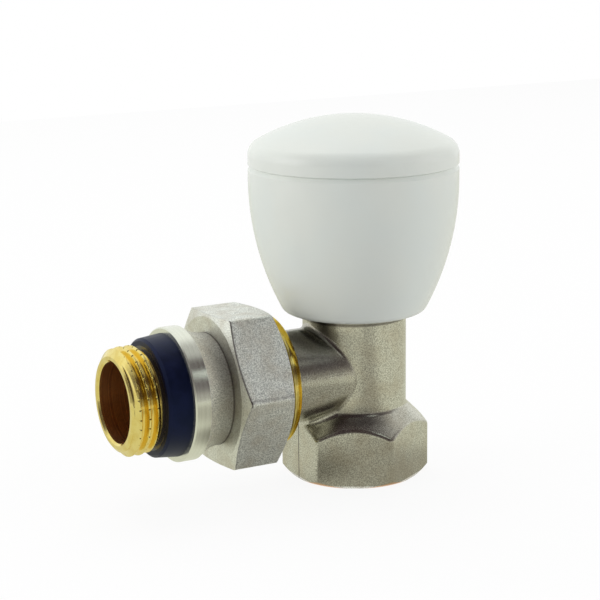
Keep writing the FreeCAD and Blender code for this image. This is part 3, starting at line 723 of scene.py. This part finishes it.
def zinc_steel():
    finish, start, shader = new_finish("zinc_steel")
    spangle = noise(place_in_mm(start), per_mm=1.5)
    start.plug(shader, {
        "Base Color": mix_colours(ramp(spangle, *NOISE_SPREAD), *ZINC_TONES),
        "Metallic": 1,
        "Roughness": 0.28 + 0.15 * spangle,
        "Normal": bump(spangle, depth_mm=0.005),
    })
    return finish


finishes["fibre_sheet"] = fibre_sheet()
finishes["zinc_steel"] = zinc_steel()
print("fibre_sheet, zinc_steel")

# %% [markdown]
# ### Knob plastic
# The knob and its cap are moulded in glossy off-white plastic. A flat colour would look drawn, so the tone
# drifts a little from place to place, as the plastic flowed into the mould, and the skin is not quite even.

# %% Knob plastic
PLASTIC_TONES = (0.745, 0.79, 0.755, 1), (0.765, 0.795, 0.745, 1)


def white_plastic():
    finish, start, shader = new_finish("white_plastic")
    place = place_in_mm(start)
    flow = noise(place, per_mm=0.05)
    skin = noise(place, per_mm=0.9)
    start.plug(shader, {
        "Base Color": mix_colours(ramp(flow, *NOISE_SPREAD), *PLASTIC_TONES),
        "Roughness": 0.2 + 0.08 * skin,
        "Normal": bump(skin, depth_mm=0.003),
    })
    return finish


finishes["white_plastic"] = white_plastic()
print("finishes:", ", ".join(finishes))

# %% [markdown]
# ## Threads
# CAD leaves a thread as a plain cylinder at its crests. Here it is cut: every point of a turned piece gets
# its radius from its angle and its distance along the axis, and a right-hand thread is a wave that moves on
# by one pitch with each turn. A helix could be swept and cut with a Boolean instead, but a wave on a lathe
# never leaves broken faces.

# %% Thread
PITCH = 1.814
THREAD_DEPTH = 1.162
CREST_FLAT = 0.08  # share of half a pitch
ROOT_FLAT = 0.2


def thread_depth(along, angle):
    """How far below its crests a right-hand thread lies, from 0 to 1."""
    phase = (along / PITCH - angle / (2 * math.pi)) % 1
    from_crest = abs(2 * phase - 1)
    flank = (from_crest - CREST_FLAT) / (1 - CREST_FLAT - ROOT_FLAT)
    flank = min(max(flank, 0), 1)
    return flank * flank * (3 - 2 * flank)  # rounded at crest and root


print("thread pitch", PITCH, "mm, depth", THREAD_DEPTH, "mm")

# %% [markdown]
# The lathe lays one ring of points at each station and joins each ring to the next one. Blender's Spin and Screw
# tools turn a profile too, but here every angle has its own radius, so the points are laid one by one.

# %% Lathe
LATHE_STEPS = 408
SHARP_ANGLE = math.radians(32)


def turn_piece(name, stations, radius_at):
    """A turned piece on the branch axis. stations are pairs of distance along it and plain radius."""
    points = []
    for along, plain in stations:
        for step in range(LATHE_STEPS):
            angle = 2 * math.pi * step / LATHE_STEPS
            radius = radius_at(along, plain, angle, step)
            across_y, across_z = radius * math.sin(angle), radius * math.cos(angle)
            points.append((-along * MM, across_y * MM, (branch_height + across_z) * MM))
    faces = []
    for ring in range(len(stations) - 1):
        for step in range(LATHE_STEPS):
            following = (step + 1) % LATHE_STEPS
            here, there = ring * LATHE_STEPS, (ring + 1) * LATHE_STEPS
            faces.append((here + step, here + following, there + following, there + step))
    mesh = bpy.data.meshes.new(name)
    mesh.from_pydata(points, [], faces)
    mesh.shade_smooth()
    mesh.set_sharp_from_angle(angle=SHARP_ANGLE)
    piece = bpy.data.objects.new(name, mesh)
    scene.collection.objects.link(piece)
    print(name, len(faces), "faces")
    return piece


print("lathe of", LATHE_STEPS, "steps a turn")

# %% [markdown]
# ### The tail
# The tail screws into the radiator. From the nut it runs as a neck, flares into a collar, holds the rubber
# ring and ends in the thread, whose crests are notched so that sealing hemp doesn't slip. It is drawn as the
# lathe hand would draw it, as a list of lengths and radii, and only the thread's radius is worked out.

# %% Profile of the tail
THREAD_RADIUS = 10.48
NECK = [(27.6, 7.8), (27.6, 11.0), (28.95, 11.0), (28.95, 10.0), (30.15, 10.0), (30.15, 11.0), (33.0, 11.0)]
TAPER_START, TAPER_END = Vector((33.0, 11.0)), Vector((38.2, 13.05))
TAPER_SAG = Vector((0.163, -0.414))
TAPER_STEPS = 12
COLLAR = [(41.11, 13.05), (41.36, 12.8), (41.36, 10.1), (46.0, 10.1)]
THREAD_END = 52.6
THREAD_STEP = 0.06
BORE = [(52.6, 8.2), (52.2, 7.8), (40.0, 7.8), (27.6, 7.8)]

taper = []
for step in range(1, TAPER_STEPS + 1):
    share = step / TAPER_STEPS
    taper.append(tuple(TAPER_START.lerp(TAPER_END, share) + TAPER_SAG * (1 - (2 * share - 1) ** 2)))
thread_rings = round((THREAD_END - TAIL_THREAD_START) / THREAD_STEP)
thread = [(TAIL_THREAD_START + step * THREAD_STEP, THREAD_RADIUS) for step in range(thread_rings + 1)]
tail_stations = NECK + taper + COLLAR + thread + BORE
print(len(tail_stations), "stations along the tail")

# %% [markdown]
# A pipe thread begins at a groove that frees the tool and ends in a chamfer that guides it into its hole. So
# the radius is the smallest of three: the thread with its notches, the groove and the chamfer. One function
# that gives a radius keeps them together, and no edge has to be cut afterwards.

# %% Cutting the tail's thread
CREST_NOTCHES = 34
NOTCH_DEPTH = 0.16
NOTCHED_CREST = 0.2  # share of the thread's depth
CHAMFER_LENGTH, CHAMFER_DEPTH = 1.2, 1.6


def tail_radius(along, plain, angle, step):
    if plain != THREAD_RADIUS:
        return plain
    depth = thread_depth(along, angle)
    radius = THREAD_RADIUS - THREAD_DEPTH * depth
    if depth < NOTCHED_CREST and step % (LATHE_STEPS // CREST_NOTCHES) == 0:
        radius -= NOTCH_DEPTH
    relief = THREAD_RADIUS - THREAD_DEPTH + max(along - TAIL_RELIEF_END, 0)
    chamfer = THREAD_RADIUS - CHAMFER_DEPTH * (1 - (THREAD_END - along) / CHAMFER_LENGTH)
    return min(radius, relief, chamfer)


tail = turn_piece("threaded_tail", tail_stations, tail_radius)

# %% [markdown]
# The tail has four finishes, one for each stretch of its profile: the neck is blasted, the collar turned, the
# thread bare and the bore brown. It takes the place of the plain CAD piece and rides on the same body.

# %% Finishes of the tail
TAIL_FINISHES = [
    ("tail_nickel", NECK + taper),
    ("collar_nickel", COLLAR),
    ("bare_brass", thread + BORE[:2]),
    ("tail_bore_brass", BORE[2:]),
]
finish_of_ring = []
for index, (finish_name, stations) in enumerate(TAIL_FINISHES):
    tail.data.materials.append(finishes[finish_name])
    finish_of_ring += [index] * len(stations)
for number, face in enumerate(tail.data.polygons):
    face.material_index = finish_of_ring[number // LATHE_STEPS + 1]
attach(tail, "tail")
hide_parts("tailpiece")
print("tail finishes:", ", ".join(finish_name for finish_name, stations in TAIL_FINISHES))

# %% [markdown]
# ### The union thread
# The nut runs on a thread at the end of the branch, and a narrow gold ring of it shows beside the nut. The
# CAD body carries that thread as a plain band, so the band is masked away and a cut one is put in its place.

# %% The union's plain band
UNION_EDGE = 0.5
BAND_MARGIN = 0.01
CLEAR_OF_FOOT = 15  # the band lies farther along the branch than any part of the foot

body_node = nodes["valve_body"]
points_from_axis = [
    (-point.co.x / MM, math.hypot(point.co.y, point.co.z - branch_height * MM) / MM)
    for point in body_node.data.vertices
]
union_crest = max(radius for along, radius in points_from_axis if along > CLEAR_OF_FOOT)
band_points = {
    number for number, (along, radius) in enumerate(points_from_axis)
    if along > CLEAR_OF_FOOT and radius > union_crest - UNION_EDGE - BAND_MARGIN
}
union_start = min(points_from_axis[number][0] for number in band_points)
union_end = max(points_from_axis[number][0] for number in band_points)

kept_points = set()
for face in body_node.data.polygons:
    if not band_points.issuperset(face.vertices):
        kept_points.update(face.vertices)
plain_band = body_node.vertex_groups.new(name="plain_band")
plain_band.add(sorted(band_points - kept_points), 1.0, "REPLACE")
mask = body_node.modifiers.new("cut_thread", "MASK")
mask.vertex_group = "plain_band"
mask.invert_vertex_group = True
print(f"plain band from {union_start:.2f} to {union_end:.2f} mm, radius {union_crest:.2f} mm")

# %% [markdown]
# The cut band is turned as the tail was. Its thread runs out at both ends into a small bevel, which meets the
# edges that the mask has left, so no gap opens between the forging and its thread.

# %% Cutting the union thread
UNION_RUN_OUT = 0.3


def union_radius(along, plain, angle, step):
    from_end = min(along - union_start, union_end - along)
    cut = THREAD_DEPTH * thread_depth(along, angle) * min(from_end / UNION_RUN_OUT, 1)
    return min(plain - cut, plain - UNION_EDGE + from_end)


union_rings = round((union_end - union_start) / THREAD_STEP)
union_step = (union_end - union_start) / union_rings
union_stations = [(union_start + ring * union_step, union_crest) for ring in range(union_rings + 1)]
union_thread = turn_piece("union_thread", union_stations, union_radius)
union_thread.data.materials.append(finishes["bare_brass"])
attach(union_thread, "valve")

# %% [markdown]
# ## Painting the CAD nodes
# Every other piece keeps its CAD shape and only takes its finish. The record names a material slot for each,
# and most slots have a finish of the same name.

# %% Paint
FINISH_OF_SLOT = {
    "blasted_nickel": "body_nickel",
    "turned_nickel": "collar_nickel",
    "fibre_gasket": "fibre_sheet",
}
FINISH_OF_NODE = {"union_nut": "nut_nickel"}
for subpart in frame["record"]["subparts"]:
    node, slot = subpart["node"], subpart["material_slot"]
    painted = nodes[node].data
    painted.materials.clear()
    painted.materials.append(finishes[FINISH_OF_NODE.get(node) or FINISH_OF_SLOT.get(slot, slot)])

# %% [markdown]
# The machined faces of the two forgings differ from the others. The nut's ends were faced before blasting, so
# their grain is fainter and they mirror more, and the body's inlet is faced and threaded after plating, so its
# lower edge shows brass. A face is chosen by where it lies and which way it looks, which a new CAD mesh keeps.

# %% Machined faces
INLET_TOP, INLET_RADIUS = 11.0, 10.0
INLET_MARGIN = 0.1
END_FACING, DOWN_FACING = 0.5, -0.3  # how far a face's normal leans that way


def repaint(node, finish_name, is_machined):
    mesh = nodes[node].data
    mesh.materials.append(finishes[finish_name])
    machined = [face for face in mesh.polygons if is_machined(face.center / MM, face.normal)]
    for face in machined:
        face.material_index = len(mesh.materials) - 1
    print(node, len(machined), "faces in", finish_name)


def is_nut_end(centre, normal):
    return abs(normal.x) > END_FACING or math.hypot(centre.y, centre.z - branch_height) < NUT_FACE_RADIUS


def is_inlet(centre, normal):
    in_bore = math.hypot(centre.x, centre.y) < INLET_RADIUS and centre.z < INLET_TOP + INLET_MARGIN
    return in_bore or normal.z < DOWN_FACING and centre.z < FOOT_TOP / 4


repaint("union_nut", "nut_end_nickel", is_nut_end)
repaint("valve_body", "inlet_brass", is_inlet)
